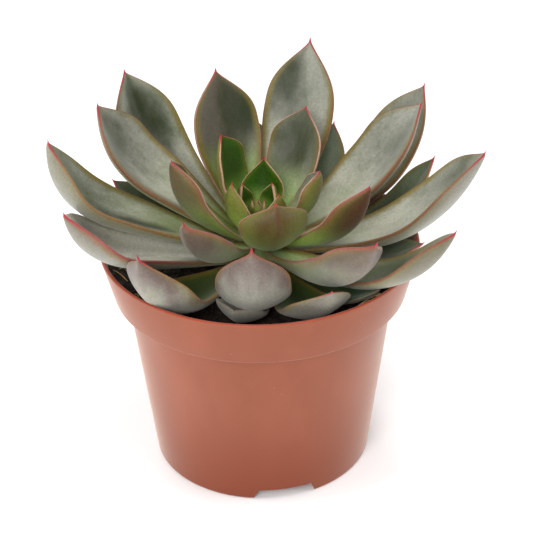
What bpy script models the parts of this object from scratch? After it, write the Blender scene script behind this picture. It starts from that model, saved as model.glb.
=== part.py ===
"""Potted rosette succulent: a plastic nursery pot, peat, a short stem and one solid for each large leaf.

The origin is on the pot's axis, where it stands on the table, with +Z up. The view that the leaves were
measured from looks along +Y. Azimuths run counterclockwise from +X, seen from above.
"""

from collections import namedtuple
from math import atan2, cos, pi, radians, sin

import bmesh
import bpy
import numpy as np

# All sizes below are in millimetres and all angles in degrees.
MM = 0.001
GAP = 0.3
MERGE = 0.00005

# The pot: a wide band at the top, a step in, and a plain tapering body on a foot ring.
RIM_RADIUS = 52.5
POT_HEIGHT = 79.0
BAND_HEIGHT = 16.3
BAND_FOOT_RADIUS = 48.6
BODY_TOP_RADIUS = 44.4
BODY_FOOT_RADIUS = 36.6
WALL = 1.3
LIP_ROUND = 0.6
BAND_ROUND = 0.5
FOOT_ROUND = 1.2
POT_STEPS = 72

# The pot's floor: a ring to stand on, a raised channel with drainage holes, and a flat pad in the middle.
FOOT_RING_WIDTH = 3.2
CHANNEL_HEIGHT = 4.4
PAD_RADIUS = 12.0
PAD_SLOPE = 2.0
NOTCHES = 3
NOTCH_AZIMUTH = -78.6
NOTCH_WIDTH = 24.6
NOTCH_TOP_WIDTH = 17.9
NOTCH_HEIGHT = 4.1
HOLES = 6
HOLE_RADIUS = 3.5
HOLE_CIRCLE = 22.0

# The peat: level near the wall, and sunk in the middle where the plant stands.
SOIL_EDGE_HEIGHT = 75.2
SOIL_MIDDLE_HEIGHT = 66.0
DIP_START = 34.0
DIP_END = 50.5
SOIL_HOLE_DEPTH = 9.0

# The stem: leaf number n, counted from the heart, leaves it at a radius and a height that follow these.
STEM_TOP_RADIUS = 1.5
STEM_SPREAD = 8.5
STEM_SPREAD_POWER = 0.7
STEM_TOP_HEIGHT = 88.0
STEM_DROP = 17.5
STEM_DROP_POWER = 0.52
STEM_STEPS = 16
LAST_LEAF = 39

# How every leaf's outline and section run from its base, 0, to its tip, 1.
LEAF_RINGS = 12
LEAF_SIDES = 12
MIDRIB_STEPS = 64
BASE_WIDTH = 0.30
BASE_THICKNESS = 0.45
POINT_START = 0.955
POINT_WIDTH = 0.085
ROLL_END = 0.45
UPPER_SHARE = 0.30
KEEL = 0.20
KEEL_WIDTH = 0.35
ROUNDEST = 0.85

# Leaves of one kind: their thickness, where they are widest, how far out their shoulders are, how hollow
# the outline is between the shoulders and the sharp tip, and the middle and the length of the bend.
Whorl = namedtuple("Whorl", "thickness widest shoulder hollow middle bend")
BUD = Whorl(2.3, 0.52, 2.0, 1.50, 0.60, 0.80)
INNER = Whorl(3.0, 0.65, 3.1, 1.35, 0.60, 0.80)
BROAD = Whorl(3.0, 0.72, 3.0, 2.00, 0.60, 0.80)
OUTER = Whorl(3.6, 0.65, 3.3, 1.30, 0.60, 0.80)
SWEPT = Whorl(3.6, 0.65, 3.3, 1.30, 0.74, 0.52)
UPRIGHT = Whorl(3.6, 0.65, 2.9, 1.55, 0.60, 0.80)
HOOKED = Whorl(3.6, 0.66, 2.8, 1.90, 0.60, 0.80)
CUPPED = Whorl(3.4, 0.64, 4.2, 2.30, 0.60, 0.62)
CLAWED = Whorl(3.0, 0.62, 2.6, 2.20, 0.60, 0.80)
ROUND = Whorl(3.4, 0.66, 3.3, 2.20, 0.60, 0.62)
LOW = Whorl(2.9, 0.65, 3.1, 1.35, 0.60, 0.80)
THIN = Whorl(2.3, 0.65, 3.1, 1.35, 0.60, 0.80)

# One row for each large leaf, from the heart outward. The number is its place on the stem. Its tip is at
# the azimuth, the reach from the pot's axis and the height above the table. Curl is how far the midrib
# bends up, fold how far the margins turn up at the base and at the tip, and roll turns the blade about
# its midrib, counterclockwise side up.
Leaf = namedtuple("Leaf", "number whorl azimuth reach height width curl base_fold fold roll")
LEAVES = (
    Leaf(1, BUD, 38, 5.5, 98.5, 8.5, 30, 25, 60, 0),
    Leaf(2, BUD, 150, 6.0, 98.5, 8.5, 30, 25, 60, 0),
    Leaf(3, BUD, -48, 9.5, 100.0, 11.0, 45, 25, 60, 0),
    Leaf(4, BUD, 81, 12.0, 103.5, 15.0, 28, 25, 40, 0),
    Leaf(5, BUD, 214, 10.0, 103.5, 14.0, 45, 25, 70, 0),
    Leaf(6, INNER, 5, 20.0, 103.5, 14.0, 45, 50, 95, -10),
    Leaf(7, INNER, 135, 16.7, 112.0, 19.0, 30, 25, 46, 20),
    Leaf(8, BROAD, -74.4, 19.5, 103.2, 24.5, 80, 20, 48, -1),
    Leaf(9, INNER, 57, 29.5, 115.5, 21.5, 40, 25, 55, 0),
    Leaf(10, INNER, 191, 28.0, 112.0, 17.5, 48, 50, 95, 8),
    Leaf(11, INNER, -26.3, 39.0, 108.2, 18.5, 56, 55, 75, -15),
    Leaf(12, UPRIGHT, 115, 32.0, 127.5, 25.0, 36, 25, 50, 0),
    Leaf(13, CLAWED, 232, 38.0, 103.2, 20.5, 54, 50, 80, 6),
    Leaf(17, OUTER, 25.4, 60.4, 115.7, 27.0, 38, 25, 56, 0),
    Leaf(14, SWEPT, 160, 55.5, 120.5, 28.5, 48, 25, 52, 0),
    Leaf(16, HOOKED, -54, 60.5, 106.0, 24.0, 54, 60, 74, -17),
    Leaf(14.5, UPRIGHT, 67, 46.0, 132.0, 26.5, 45, 25, 50, 0),
    Leaf(18, SWEPT, 188, 66.0, 122.0, 26.5, 66, 25, 66, 0),
    Leaf(21, OUTER, -8, 72.5, 116.0, 26.5, 50, 30, 64, 0),
    Leaf(20, OUTER, 137, 61.0, 122.0, 28.5, 60, 25, 42, 0),
    Leaf(21, CUPPED, -93.0, 42.5, 100.9, 25.3, 96, 20, 48, 0),
    Leaf(23, OUTER, 35.5, 69.5, 115.7, 26.3, 54, 25, 40, 0),
    Leaf(24, LOW, 160, 52.0, 93.0, 17.0, 38, 20, 32, 0),
    Leaf(25, INNER, -35, 73.0, 105.5, 24.0, 56, 25, 44, -2),
    Leaf(25, LOW, 93, 56.0, 98.0, 21.0, 55, 25, 35, 0),
    Leaf(26, SWEPT, 200.9, 65.0, 103.4, 30.6, 57, 25, 46, 5),
    Leaf(27.5, LOW, 12.5, 59.5, 102.5, 16.5, 56, 20, 32, 0),
    Leaf(28, LOW, 140, 50.0, 84.0, 17.0, 45, 20, 30, 0),
    Leaf(28, LOW, -64.4, 51.0, 87.2, 23.0, 74, 20, 32, -4),
    Leaf(30, LOW, 60.5, 53.5, 99.0, 17.5, 62, 20, 32, 0),
    Leaf(31, LOW, 179, 45.5, 81.5, 13.0, 40, 20, 28, 0),
    Leaf(32, LOW, -12, 54.5, 83.5, 15.0, 32, 20, 28, 0),
    Leaf(34, LOW, 114, 46.0, 80.5, 14.0, 42, 20, 28, 0),
    Leaf(34, ROUND, 228.9, 56.1, 99.0, 28.0, 76, 38, 46, 4),
    Leaf(35, LOW, 12, 45.0, 79.0, 13.0, 25, 20, 28, 0),
    Leaf(36, LOW, 84, 46.0, 80.5, 14.0, 40, 20, 28, 0),
    Leaf(39, THIN, -39.0, 48.9, 78.2, 12.6, 47, 12, 20, 0),
    Leaf(39, LOW, -101.0, 42.7, 78.2, 18.5, 59, 20, 58, -8),
)

# The tiny leaves at the stem's top, which have grown into it.
HEART = (
    Leaf(0, BUD, -100, 2.6, 94.6, 4.6, 20, 25, 50, 0),
    Leaf(0, BUD, -18, 1.9, 94.2, 3.0, 20, 25, 50, 0),
    Leaf(0, BUD, 190, 2.2, 94.4, 3.6, 20, 25, 50, 0),
    Leaf(0, BUD, 95, 1.6, 93.2, 3.2, 20, 25, 50, 0),
)

# Colours are linear red, green and blue.
TERRACOTTA = (0.43, 0.155, 0.098)
PEAT = (0.012, 0.010, 0.008)
STEM_GREEN = (0.20, 0.26, 0.10)
BUD_GREEN = (0.09, 0.20, 0.04)
LEAF_GREEN = (0.25, 0.29, 0.21)


def eased(x):
    """0 below 0, 1 above 1, and a smooth step between."""
    x = np.clip(x, 0.0, 1.0)
    return x * x * (3.0 - 2.0 * x)


def material(name, colour, roughness):
    mat = bpy.data.materials.new(name)
    mat.use_nodes = True
    shader = mat.node_tree.nodes["Principled BSDF"]
    shader.inputs["Base Color"].default_value = (*colour, 1.0)
    shader.inputs["Roughness"].default_value = roughness
    shader.inputs["Metallic"].default_value = 0.0
    return mat


def new_object(name, bm, collection, mat=None):
    """An object from a bmesh in millimetres."""
    bmesh.ops.scale(bm, vec=(MM, MM, MM), verts=bm.verts)
    mesh = bpy.data.meshes.new(name)
    bm.to_mesh(mesh)
    bm.free()
    if mat:
        mesh.materials.append(mat)
    obj = bpy.data.objects.new(name, mesh)
    collection.objects.link(obj)
    return obj


def turned(name, profile, steps, collection, mat):
    """A solid turned about the Z axis from (radius, height) points, up the inside and down the outside."""
    bm = bmesh.new()
    points = [bm.verts.new((radius, 0.0, height)) for radius, height in profile]
    for start, end in zip(points, points[1:]):
        bm.edges.new((start, end))
    obj = new_object(name, bm, collection, mat)
    screw = obj.modifiers.new("Turn", "SCREW")
    screw.steps = steps
    screw.render_steps = steps
    screw.use_merge_vertices = True
    screw.merge_threshold = MERGE
    return obj


def arc(centre, radius, start, end, steps):
    """Points on a round corner of a profile, from one angle to another."""
    angles = [radians(start + (end - start) * i / steps) for i in range(steps + 1)]
    return [(centre[0] + radius * cos(a), centre[1] + radius * sin(a)) for a in angles]


def cut(obj, cutter, name, operation="DIFFERENCE"):
    boolean = obj.modifiers.new(name, "BOOLEAN")
    boolean.operation = operation
    boolean.solver = "EXACT"
    boolean.object = cutter


def hide_cutter(obj):
    obj.hide_render = True
    obj.display_type = "WIRE"


def band_foot_height():
    return POT_HEIGHT - BAND_HEIGHT


def body_radius(height):
    """The pot's outer radius below the band."""
    share = height / band_foot_height()
    return BODY_FOOT_RADIUS + (BODY_TOP_RADIUS - BODY_FOOT_RADIUS) * share


def floor_height():
    """The inside of the raised channel."""
    return CHANNEL_HEIGHT + WALL


def pot_profile():
    band_foot = band_foot_height()
    ledge = band_foot + WALL
    ring_inner = BODY_FOOT_RADIUS - FOOT_RING_WIDTH
    inside = [
        (0.0, WALL),
        (PAD_RADIUS, WALL),
        (PAD_RADIUS + PAD_SLOPE, floor_height()),
        (body_radius(floor_height()) - WALL, floor_height()),
        (BODY_TOP_RADIUS - WALL, ledge),
        (BAND_FOOT_RADIUS - WALL, ledge),
    ]
    lip = arc((RIM_RADIUS - WALL + LIP_ROUND, POT_HEIGHT - LIP_ROUND), LIP_ROUND, 180, 90, 3)
    lip += arc((RIM_RADIUS - LIP_ROUND, POT_HEIGHT - LIP_ROUND), LIP_ROUND, 75, 0, 3)
    band = arc((BAND_FOOT_RADIUS - BAND_ROUND, band_foot + BAND_ROUND), BAND_ROUND, 0, -90, 2)
    body = [(BODY_TOP_RADIUS, band_foot)]
    foot = arc((BODY_FOOT_RADIUS - FOOT_ROUND, FOOT_ROUND), FOOT_ROUND, 0, -90, 3)
    underside = [
        (ring_inner, 0.0),
        (ring_inner, CHANNEL_HEIGHT),
        (PAD_RADIUS + PAD_SLOPE - WALL, CHANNEL_HEIGHT),
        (PAD_RADIUS - WALL, 0.0),
        (0.0, 0.0),
    ]
    return inside + lip + band + body + foot + underside


def notch_cutter(collection):
    """Three blocks with slanted ends, set around the foot ring."""
    bm = bmesh.new()
    reach = BODY_FOOT_RADIUS + FOOT_RING_WIDTH
    for i in range(NOTCHES):
        block = bmesh.ops.create_cube(bm, size=1.0)["verts"]
        for vert in block:
            width = NOTCH_TOP_WIDTH if vert.co.z > 0 else NOTCH_WIDTH
            radius = reach if vert.co.x > 0 else BODY_FOOT_RADIUS - 2 * FOOT_RING_WIDTH
            side = width * (1 if vert.co.y > 0 else -1) / 2
            height = NOTCH_HEIGHT if vert.co.z > 0 else -NOTCH_HEIGHT
            vert.co = (radius, side, height)
        turn = radians(NOTCH_AZIMUTH + 360.0 * i / NOTCHES)
        for vert in block:
            x, y, z = vert.co
            vert.co = (x * cos(turn) - y * sin(turn), x * sin(turn) + y * cos(turn), z)
    obj = new_object("notch_cutter", bm, collection)
    hide_cutter(obj)
    return obj


def hole_cutter(collection):
    """Round drainage holes through the raised channel, clear of the foot ring."""
    bm = bmesh.new()
    for i in range(HOLES):
        turn = radians(NOTCH_AZIMUTH + 360.0 * i / HOLES)
        drill = bmesh.ops.create_cone(
            bm, cap_ends=True, segments=20, radius1=HOLE_RADIUS, radius2=HOLE_RADIUS, depth=3 * WALL
        )["verts"]
        centre = (HOLE_CIRCLE * cos(turn), HOLE_CIRCLE * sin(turn), CHANNEL_HEIGHT + WALL / 2)
        bmesh.ops.translate(bm, verts=drill, vec=centre)
    obj = new_object("hole_cutter", bm, collection)
    hide_cutter(obj)
    return obj


def build_pot(parts, cutters):
    mat = material("terracotta_plastic", TERRACOTTA, 0.45)
    pot = turned("pot", pot_profile(), POT_STEPS, parts, mat)
    cut(pot, notch_cutter(cutters), "Foot notches")
    cut(pot, hole_cutter(cutters), "Drainage holes")
    return pot


def soil_height(radius):
    share = eased((radius - DIP_START) / (DIP_END - DIP_START))
    return SOIL_MIDDLE_HEIGHT + (SOIL_EDGE_HEIGHT - SOIL_MIDDLE_HEIGHT) * float(share)


def band_inner_radius(height):
    share = (height - band_foot_height()) / BAND_HEIGHT
    return BAND_FOOT_RADIUS + (RIM_RADIUS - BAND_FOOT_RADIUS) * share - WALL


def stem_foot_radius():
    return attachment(LAST_LEAF)[0] - GAP


def build_soil(parts):
    """Peat that fills the pot, with a plain blind hole for the stem."""
    hole = stem_foot_radius() + GAP
    hole_foot = SOIL_MIDDLE_HEIGHT - SOIL_HOLE_DEPTH
    ledge = band_foot_height() + WALL + GAP
    wall = BODY_TOP_RADIUS - WALL - GAP
    edge = band_inner_radius(SOIL_EDGE_HEIGHT) - GAP
    profile = [(0.0, hole_foot), (hole, hole_foot)]
    steps = 10
    profile += [(hole, SOIL_MIDDLE_HEIGHT)]
    for i in range(steps + 1):
        radius = DIP_START + (edge - DIP_START) * i / steps
        profile.append((radius, soil_height(radius)))
    profile += [
        (BAND_FOOT_RADIUS - WALL - GAP, ledge),
        (wall, ledge),
        (body_radius(floor_height()) - WALL - GAP, floor_height() + GAP),
        (PAD_RADIUS + PAD_SLOPE - GAP, floor_height() + GAP),
        (PAD_RADIUS - GAP, WALL + GAP),
        (0.0, WALL + GAP),
    ]
    return turned("soil", profile, 48, parts, material("peat", PEAT, 0.95))


def attachment(number):
    """Where a leaf leaves the stem: its radius and height."""
    share = number / LAST_LEAF
    radius = STEM_TOP_RADIUS + STEM_SPREAD * share**STEM_SPREAD_POWER
    height = STEM_TOP_HEIGHT - STEM_DROP * share**STEM_DROP_POWER
    return radius, height


def stem_profile():
    """Down the outside of the stem, just inside every leaf's base."""
    foot = SOIL_MIDDLE_HEIGHT - SOIL_HOLE_DEPTH + GAP
    profile = [(0.0, STEM_TOP_HEIGHT)]
    for i in range(STEM_STEPS + 1):
        radius, height = attachment(LAST_LEAF * i / STEM_STEPS)
        profile.append((radius - GAP, height - GAP))
    profile.append((stem_foot_radius(), foot))
    profile.append((0.0, foot))
    return profile


def build_stem(parts, cutters):
    """The stem, with the tiny heart leaves grown into its top."""
    stem = turned("stem", stem_profile(), 24, parts, material("stem_green", STEM_GREEN, 0.6))
    for i, leaf in enumerate(HEART):
        bud = new_object(f"heart_bud_{i}", leaf_bmesh(leaf, (0.3, STEM_TOP_HEIGHT - 4.3)), cutters)
        hide_cutter(bud)
        cut(stem, bud, f"Heart leaf {i}", "UNION")
    return stem


def midrib(leaf, base):
    """The midrib from base to tip as (share of its length, radius, height, heading) arrays."""
    share = np.linspace(0.0, 1.0, MIDRIB_STEPS + 1)
    middles = (share[1:] + share[:-1]) / 2
    curl = radians(leaf.curl)
    whorl = leaf.whorl

    def heading(at):
        return curl * eased((at - whorl.middle) / whorl.bend + 0.5)

    x = np.concatenate([[0.0], np.cumsum(np.cos(heading(middles)))]) / MIDRIB_STEPS
    y = np.concatenate([[0.0], np.cumsum(np.sin(heading(middles)))]) / MIDRIB_STEPS
    out = leaf.reach - base[0]
    up = leaf.height - base[1]
    length = np.hypot(out, up) / np.hypot(x[-1], y[-1])
    turn = atan2(up, out) - atan2(y[-1], x[-1])
    radius = base[0] + length * (x * cos(turn) - y * sin(turn))
    height = base[1] + length * (x * sin(turn) + y * cos(turn))
    return share, radius, height, turn + heading(share)


def width_share(along, whorl):
    """The blade's width as a share of its widest, with a sharp point at the tip."""
    rise = BASE_WIDTH + (1 - BASE_WIDTH) * np.sin(np.clip(along / whorl.widest, 0, 1) * pi / 2) ** 1.6
    past = np.clip((along - whorl.widest) / (1 - whorl.widest), 0, 1)
    blade = np.where(along < whorl.widest, rise, (1 - past**whorl.shoulder) ** whorl.hollow)
    point = np.clip((1 - along) / (1 - POINT_START), 0, 1) * POINT_WIDTH
    ends = np.sqrt(np.clip(along / 0.02, 0, 1)) * (along < 1)
    return np.maximum(blade, point) * ends


def thickness_share(along):
    """The blade's thickness as a share of its thickest, thin at both ends."""
    rise = BASE_THICKNESS + (1 - BASE_THICKNESS) * np.sin(np.clip(along / 0.5, 0, 1) * pi / 2)
    fall = (1 - np.clip((along - 0.5) / 0.5, 0, 1) ** 2.2) ** 0.7
    body = np.maximum(np.where(along < 0.5, rise, fall), 0.12 * (along < 1))
    return body * np.sqrt(np.clip(along / 0.05, 0, 1))


def leaf_points(leaf, base, along, around):
    """Points of a leaf's skin, given their share of its length and their angle around its section."""
    share, radius, height, heading = midrib(leaf, base)
    r = np.interp(along, share, radius)
    z = np.interp(along, share, height)
    slope = np.interp(along, share, heading)
    half = leaf.width / 2 * width_share(along, leaf.whorl)
    fold = np.radians(leaf.base_fold + (leaf.fold - leaf.base_fold) * along)
    across = np.cos(around)
    keel = 1 + KEEL * np.exp(-((across / KEEL_WIDTH) ** 2))
    skin = np.where(np.sin(around) > 0, UPPER_SHARE, (1 - UPPER_SHARE) * keel)
    skin = skin * np.sin(around) * leaf.whorl.thickness * thickness_share(along)
    skin = np.clip(skin, -ROUNDEST * half / fold, ROUNDEST * half / fold)
    side = half * np.sin(fold * across) / fold - skin * np.sin(fold * across)
    up = half * (1 - np.cos(fold * across)) / fold + skin * np.cos(fold * across)
    roll = radians(leaf.roll) * eased(along / ROLL_END)
    side, up = side * np.cos(roll) - up * np.sin(roll), side * np.sin(roll) + up * np.cos(roll)
    r = r - up * np.sin(slope)
    z = z + up * np.cos(slope)
    azimuth = radians(leaf.azimuth)
    x = r * cos(azimuth) - side * sin(azimuth)
    y = r * sin(azimuth) + side * cos(azimuth)
    return np.stack([x, y, z], axis=-1)


def leaf_bmesh(leaf, base):
    """A ball whose lower pole becomes the leaf's base and whose upper pole becomes its tip."""
    bm = bmesh.new()
    bmesh.ops.create_uvsphere(bm, u_segments=LEAF_SIDES, v_segments=LEAF_RINGS, radius=1.0)
    along = np.array([(vert.co.z + 1) / 2 for vert in bm.verts])
    around = np.array([atan2(vert.co.y, vert.co.x) for vert in bm.verts])
    along = np.clip(np.round(along, 6), 0.0, 1.0)
    for vert, point in zip(bm.verts, leaf_points(leaf, base, along, around)):
        vert.co = point
    return bm


def build_leaves(parts):
    bud = material("bud_green", BUD_GREEN, 0.45)
    green = material("leaf_green", LEAF_GREEN, 0.5)
    for order, leaf in enumerate(LEAVES, start=1):
        mat = bud if leaf.whorl is BUD else green
        obj = new_object(f"leaf_{order:02d}", leaf_bmesh(leaf, attachment(leaf.number)), parts, mat)
        obj.data.shade_smooth()


def main():
    for obj in list(bpy.data.objects):
        bpy.data.objects.remove(obj, do_unlink=True)
    parts = bpy.data.collections.new("potted_rosette")
    cutters = bpy.data.collections.new("cutters")
    bpy.context.scene.collection.children.link(parts)
    bpy.context.scene.collection.children.link(cutters)
    pot = build_pot(parts, cutters)
    soil = build_soil(parts)
    stem = build_stem(parts, cutters)
    for obj in (pot, soil, stem):
        obj.data.shade_smooth()
        obj.data.set_sharp_from_angle(angle=radians(35))
    build_leaves(parts)


main()
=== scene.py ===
"""Looks of a potted rosette succulent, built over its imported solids.

Every large leaf, the stem, the peat and the pot get a finer skin with the same form as their solid.
"""

from collections import namedtuple
from math import atan2, cos, pi, radians, sin

import bmesh
import bpy
import numpy as np
from mathutils import Matrix, Vector, noise


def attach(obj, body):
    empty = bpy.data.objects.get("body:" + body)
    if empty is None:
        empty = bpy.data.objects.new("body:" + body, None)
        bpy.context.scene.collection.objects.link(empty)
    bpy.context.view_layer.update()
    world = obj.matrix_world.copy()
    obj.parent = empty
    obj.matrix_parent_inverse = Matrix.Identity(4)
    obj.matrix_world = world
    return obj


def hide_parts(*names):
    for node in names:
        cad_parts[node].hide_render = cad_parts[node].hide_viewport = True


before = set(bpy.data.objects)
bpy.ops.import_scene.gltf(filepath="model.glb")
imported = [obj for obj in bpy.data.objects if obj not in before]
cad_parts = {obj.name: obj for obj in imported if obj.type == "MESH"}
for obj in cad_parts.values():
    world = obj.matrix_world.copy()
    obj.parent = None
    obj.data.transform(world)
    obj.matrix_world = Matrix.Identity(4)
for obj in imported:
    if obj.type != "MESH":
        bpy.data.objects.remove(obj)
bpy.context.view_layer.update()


# Sizes below are in millimetres and angles in degrees, and azimuths run counterclockwise from +X.
MM = 0.001
SEED = 7

# The pot, as its solid has it.
RIM_RADIUS = 52.5
POT_HEIGHT = 79.0
BAND_HEIGHT = 16.3
BAND_FOOT_RADIUS = 48.6
BODY_TOP_RADIUS = 44.4
BODY_FOOT_RADIUS = 36.6
WALL = 1.3
LIP_ROUND = 0.6
BAND_ROUND = 0.5
FOOT_ROUND = 1.2
FOOT_RING_WIDTH = 3.2
CHANNEL_HEIGHT = 4.4
PAD_RADIUS = 12.0
PAD_SLOPE = 2.0
NOTCHES = 3
NOTCH_AZIMUTH = -78.6
NOTCH_WIDTH = 24.6
NOTCH_TOP_WIDTH = 17.9
NOTCH_HEIGHT = 4.1
HOLES = 6
HOLE_RADIUS = 3.5
HOLE_CIRCLE = 22.0
GAP = 0.3

# The pot's skin turns in finer steps than its solid.
POT_STEPS = 288

# The peat, as its solid has it.
SOIL_EDGE_HEIGHT = 75.2
SOIL_MIDDLE_HEIGHT = 66.0
DIP_START = 34.0
DIP_END = 50.5

# The stem, as its solid has it.
STEM_TOP_RADIUS = 1.5
STEM_SPREAD = 8.5
STEM_SPREAD_POWER = 0.7
STEM_TOP_HEIGHT = 88.0
STEM_DROP = 17.5
STEM_DROP_POWER = 0.52
LAST_LEAF = 39

# A leaf's outline and section, as its solid has them.
LEAF_RINGS = 72
LEAF_SIDES = 56
MIDRIB_STEPS = 64
BASE_WIDTH = 0.30
BASE_THICKNESS = 0.45
POINT_START = 0.945
POINT_WIDTH = 0.055
ROLL_END = 0.45
UPPER_SHARE = 0.30
KEEL = 0.20
KEEL_WIDTH = 0.35
ROUNDEST = 0.85

# Finer form that only the skin has: a blade that ends just short of the needle's tip, a crease along the
# midrib near the tip, and margins that ripple.
BLADE_END = 0.985
USUAL_WIDTH = 25.0
CREASE = 0.42
CREASE_SOFTNESS = 0.10
CREASE_START = 0.45
RIPPLE = 0.32
RIPPLES = 2.3
RIPPLE_START = 0.35

Whorl = namedtuple("Whorl", "thickness widest shoulder hollow middle bend")
BUD = Whorl(2.3, 0.52, 2.0, 1.50, 0.60, 0.80)
INNER = Whorl(3.0, 0.65, 3.1, 1.35, 0.60, 0.80)
BROAD = Whorl(3.0, 0.72, 3.0, 2.00, 0.60, 0.80)
OUTER = Whorl(3.6, 0.65, 3.3, 1.30, 0.60, 0.80)
SWEPT = Whorl(3.6, 0.65, 3.3, 1.30, 0.74, 0.52)
UPRIGHT = Whorl(3.6, 0.65, 2.9, 1.55, 0.60, 0.80)
HOOKED = Whorl(3.6, 0.66, 2.8, 1.90, 0.60, 0.80)
CUPPED = Whorl(3.4, 0.64, 4.2, 2.30, 0.60, 0.62)
CLAWED = Whorl(3.0, 0.62, 2.6, 2.20, 0.60, 0.80)
ROUND = Whorl(3.4, 0.66, 3.3, 2.20, 0.60, 0.62)
LOW = Whorl(2.9, 0.65, 3.1, 1.35, 0.60, 0.80)
THIN = Whorl(2.3, 0.65, 3.1, 1.35, 0.60, 0.80)

Leaf = namedtuple("Leaf", "number whorl azimuth reach height width curl base_fold fold roll")
LEAVES = (
    Leaf(1, BUD, 38, 5.5, 98.5, 8.5, 30, 25, 60, 0),
    Leaf(2, BUD, 150, 6.0, 98.5, 8.5, 30, 25, 60, 0),
    Leaf(3, BUD, -48, 9.5, 100.0, 11.0, 45, 25, 60, 0),
    Leaf(4, BUD, 81, 12.0, 103.5, 15.0, 28, 25, 40, 0),
    Leaf(5, BUD, 214, 10.0, 103.5, 14.0, 45, 25, 70, 0),
    Leaf(6, INNER, 5, 20.0, 103.5, 14.0, 45, 50, 95, -10),
    Leaf(7, INNER, 135, 16.7, 112.0, 19.0, 30, 25, 46, 20),
    Leaf(8, BROAD, -74.4, 19.5, 103.2, 24.5, 80, 20, 48, -1),
    Leaf(9, INNER, 57, 29.5, 115.5, 21.5, 40, 25, 55, 0),
    Leaf(10, INNER, 191, 28.0, 112.0, 17.5, 48, 50, 95, 8),
    Leaf(11, INNER, -26.3, 39.0, 108.2, 18.5, 56, 55, 75, -15),
    Leaf(12, UPRIGHT, 115, 32.0, 127.5, 25.0, 36, 25, 50, 0),
    Leaf(13, CLAWED, 232, 38.0, 103.2, 20.5, 54, 50, 80, 6),
    Leaf(17, OUTER, 25.4, 60.4, 115.7, 27.0, 38, 25, 56, 0),
    Leaf(14, SWEPT, 160, 55.5, 120.5, 28.5, 48, 25, 52, 0),
    Leaf(16, HOOKED, -54, 60.5, 106.0, 24.0, 54, 60, 74, -17),
    Leaf(14.5, UPRIGHT, 67, 46.0, 132.0, 26.5, 45, 25, 50, 0),
    Leaf(18, SWEPT, 188, 66.0, 122.0, 26.5, 66, 25, 66, 0),
    Leaf(21, OUTER, -8, 72.5, 116.0, 26.5, 50, 30, 64, 0),
    Leaf(20, OUTER, 137, 61.0, 122.0, 28.5, 60, 25, 42, 0),
    Leaf(21, CUPPED, -93.0, 42.5, 100.9, 25.3, 96, 20, 48, 0),
    Leaf(23, OUTER, 35.5, 69.5, 115.7, 26.3, 54, 25, 40, 0),
    Leaf(24, LOW, 160, 52.0, 93.0, 17.0, 38, 20, 32, 0),
    Leaf(25, INNER, -35, 73.0, 105.5, 24.0, 56, 25, 44, -2),
    Leaf(25, LOW, 93, 56.0, 98.0, 21.0, 55, 25, 35, 0),
    Leaf(26, SWEPT, 200.9, 65.0, 103.4, 30.6, 57, 25, 46, 5),
    Leaf(27.5, LOW, 12.5, 59.5, 102.5, 16.5, 56, 20, 32, 0),
    Leaf(28, LOW, 140, 50.0, 84.0, 17.0, 45, 20, 30, 0),
    Leaf(28, LOW, -64.4, 51.0, 87.2, 23.0, 74, 20, 32, -4),
    Leaf(30, LOW, 60.5, 53.5, 99.0, 17.5, 62, 20, 32, 0),
    Leaf(31, LOW, 179, 45.5, 81.5, 13.0, 40, 20, 28, 0),
    Leaf(32, LOW, -12, 54.5, 83.5, 15.0, 32, 20, 28, 0),
    Leaf(34, LOW, 114, 46.0, 80.5, 14.0, 42, 20, 28, 0),
    Leaf(34, ROUND, 228.9, 56.1, 99.0, 28.0, 76, 38, 46, 4),
    Leaf(35, LOW, 12, 45.0, 79.0, 13.0, 25, 20, 28, 0),
    Leaf(36, LOW, 84, 46.0, 80.5, 14.0, 40, 20, 28, 0),
    Leaf(39, THIN, -39.0, 48.9, 78.2, 12.6, 47, 12, 20, 0),
    Leaf(39, LOW, -101.0, 42.7, 78.2, 18.5, 59, 20, 58, -8),
)

HEART = (
    Leaf(0, BUD, -100, 2.6, 94.6, 4.6, 20, 25, 50, 0),
    Leaf(0, BUD, -18, 1.9, 94.2, 3.0, 20, 25, 50, 0),
    Leaf(0, BUD, 190, 2.2, 94.4, 3.6, 20, 25, 50, 0),
    Leaf(0, BUD, 95, 1.6, 93.2, 3.2, 20, 25, 50, 0),
)
HEART_SIDES = 24
HEART_RINGS = 32

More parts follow.
